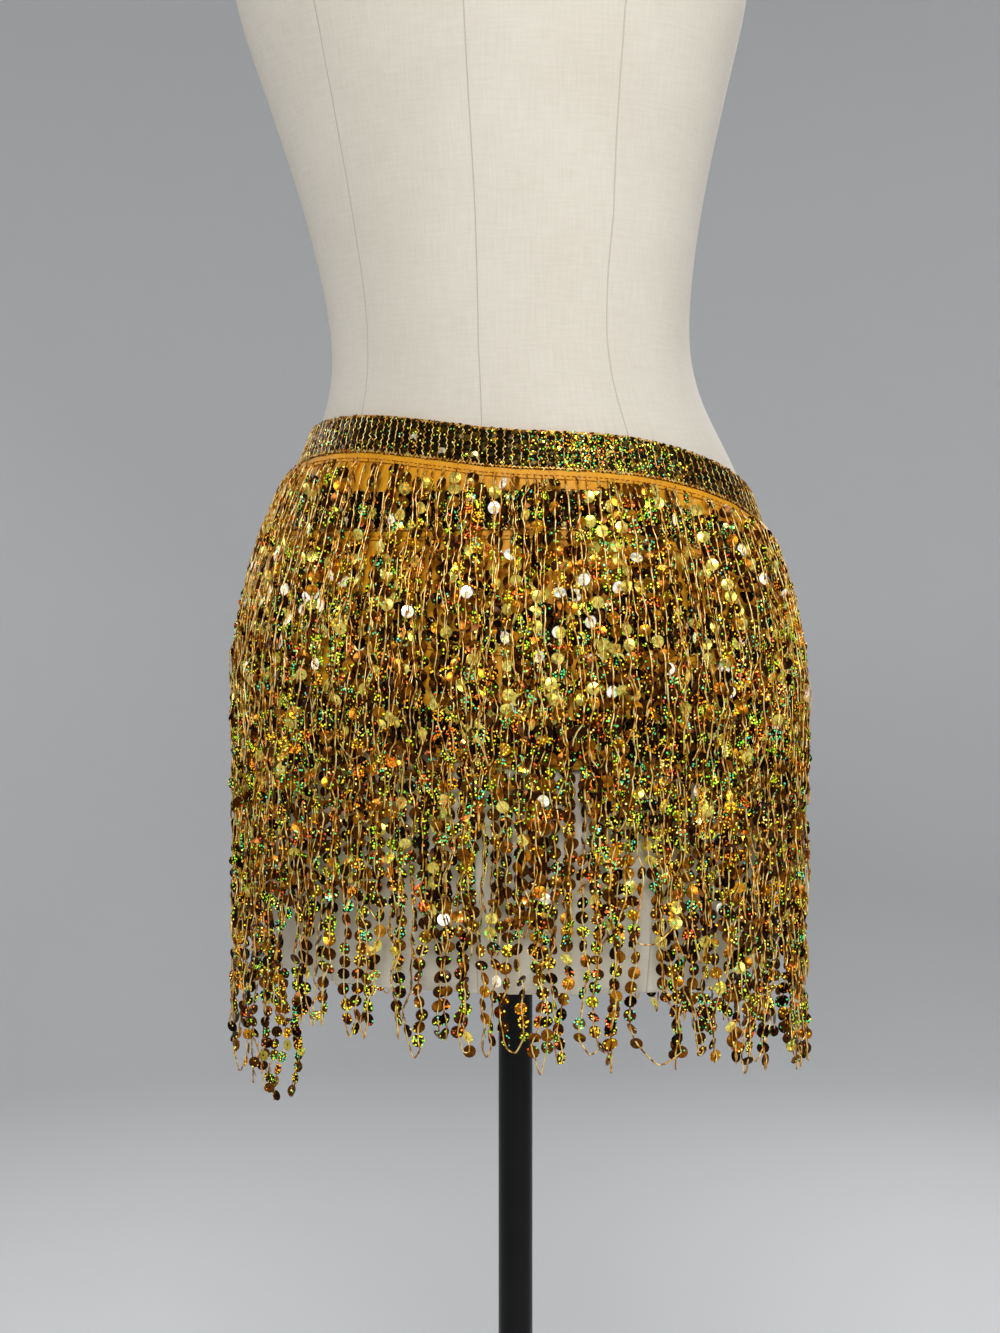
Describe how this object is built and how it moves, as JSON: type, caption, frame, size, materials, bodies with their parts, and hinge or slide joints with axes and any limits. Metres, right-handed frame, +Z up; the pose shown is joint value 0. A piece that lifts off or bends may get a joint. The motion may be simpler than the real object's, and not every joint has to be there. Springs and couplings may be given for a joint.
{
  "type": "belly dance hip belt on a dress form with stand",
  "caption": "Gold sequin-fringe hip wrap tied on a limbless cloth-covered dress form that stands on a pole and a round base.",
  "frame": {"origin": "on the floor, at the middle of the stand base's flat underside", "axes": "+Z up; -Y towards the back of the dress form, which shows the back of the belt; +X towards its right-hand side as seen from the back"},
  "size_m": [0.3766, 0.37, 1.5454],
  "materials": {
    "gold_cloth": "smooth stretch cloth with a soft sheen",
    "gold_sequins": "overlapping metallised film sequins sewn in columns",
    "fringe_sequins": "loose gold holographic film sequins on metallic thread",
    "form_linen": "fine plain-woven linen",
    "cap_wood": "black-stained turned wood, satin",
    "black_steel": "black powder coat, semi-gloss"
  },
  "bodies": {
    "root": {"panel": "gold_cloth", "sequin_band_1": "gold_sequins", "sequin_band_2": "gold_sequins", "sequin_band_3": "gold_sequins", "sequin_band_4": "gold_sequins", "fringe_1": "fringe_sequins", "fringe_2": "fringe_sequins", "fringe_3": "fringe_sequins", "fringe_4": "fringe_sequins", "tie_start": "gold_cloth", "tie_end": "gold_cloth", "tie_knot": "gold_cloth", "tie_tail_1": "gold_cloth", "tie_tail_2": "gold_cloth", "form_torso": "form_linen", "neck_cap": "cap_wood", "stand_pole": "black_steel", "stand_base": "black_steel"}
  },
  "joints": []
}
